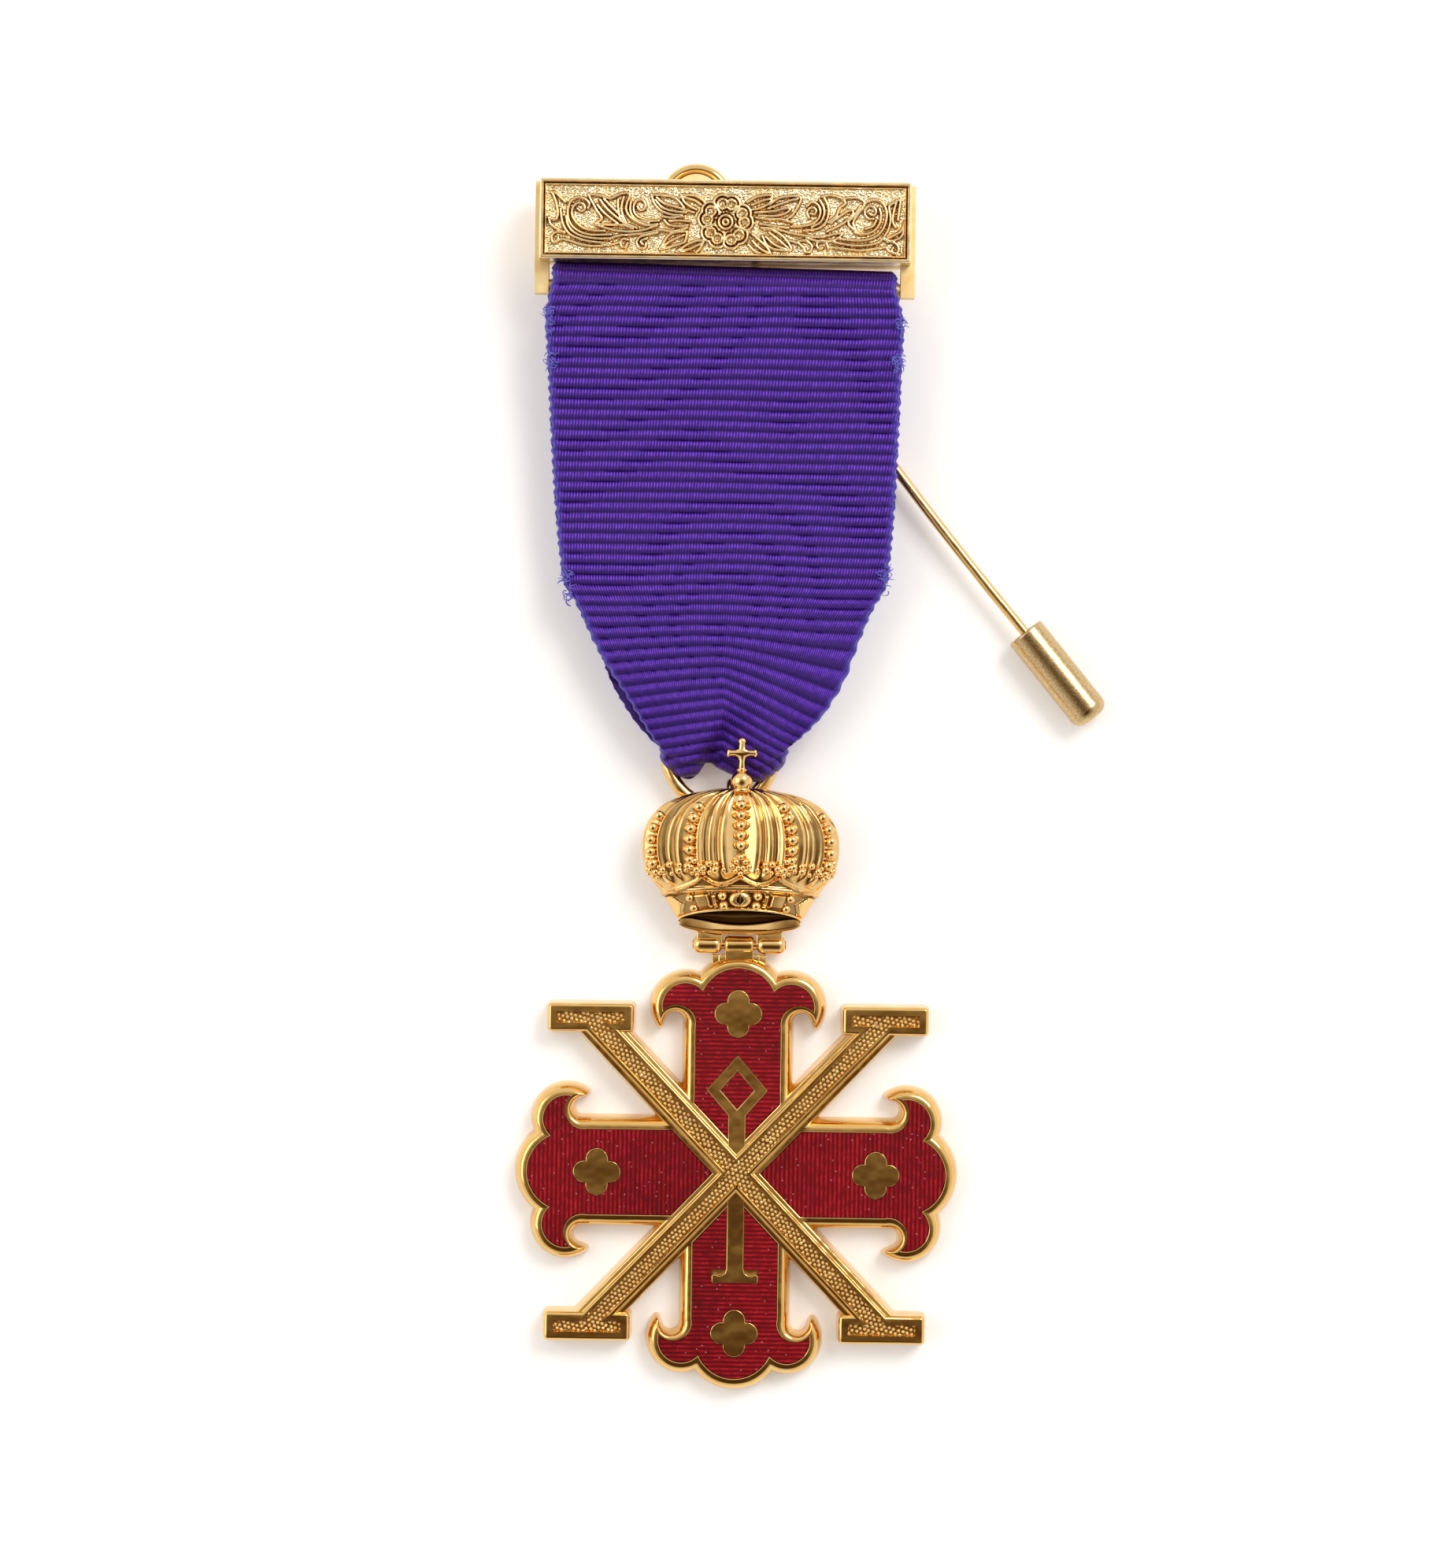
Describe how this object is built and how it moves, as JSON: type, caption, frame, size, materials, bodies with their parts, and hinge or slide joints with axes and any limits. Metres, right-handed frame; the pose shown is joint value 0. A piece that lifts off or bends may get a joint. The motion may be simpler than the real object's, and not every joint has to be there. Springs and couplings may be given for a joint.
{
  "type": "masonic jewel",
  "caption": "Enamelled cross with a saltire, hinged under a crown and hung by a jump ring from a folded ribbon on a pin bar with a swinging pin and a sliding cap.",
  "frame": {"origin": "centre of the cross, on its flat back", "axes": "+Y from the cross up to the bar, +Z out of the face towards the viewer, the jewel lying face up"},
  "size_m": [0.052, 0.1091, 0.007],
  "materials": {
    "gilt_cross": "polished gilt casting",
    "gilt_crown": "bright gilt casting",
    "gilt_panel": "gilt relief, satin in the hollows",
    "gilt_fittings": "polished gilt",
    "worn_brass": "worn, lightly scratched",
    "crimson_enamel": "translucent gloss enamel over ruled lines",
    "purple_ribbon": "ribbed silk-like weave"
  },
  "bodies": {
    "mounting": {"bar_back": "gilt_fittings", "bar_panel": "gilt_panel", "ribbon": "purple_ribbon", "jump_ring": "gilt_fittings", "crown": "gilt_crown", "hinge_pin": "gilt_fittings"},
    "drop": {"cross_frame": "gilt_cross", "enamel_top": "crimson_enamel", "enamel_left": "crimson_enamel", "enamel_bottom": "crimson_enamel", "enamel_right": "crimson_enamel", "enamel_lozenge": "crimson_enamel"},
    "pin": {"pin_wire": "gilt_fittings"},
    "cap": {"pin_cap": "worn_brass"}
  },
  "joints": [
    {"name": "cross_hinge", "type": "hinge", "parent": "mounting", "child": "drop", "pos_m": [0, 0.0203, 0.0013], "axis": [1, 0, 0], "range_deg": [-75, 60]},
    {"name": "pin_swing", "type": "hinge", "parent": "mounting", "child": "pin", "pos_m": [-0.00475, 0.0865, 0.0018], "axis": [0, 0, 1], "range_deg": [-8, 50]},
    {"name": "cap_slide", "type": "slide", "parent": "pin", "child": "cap", "axis": [0.6347, -0.7727, 0], "range_m": [0, 0.011]}
  ]
}
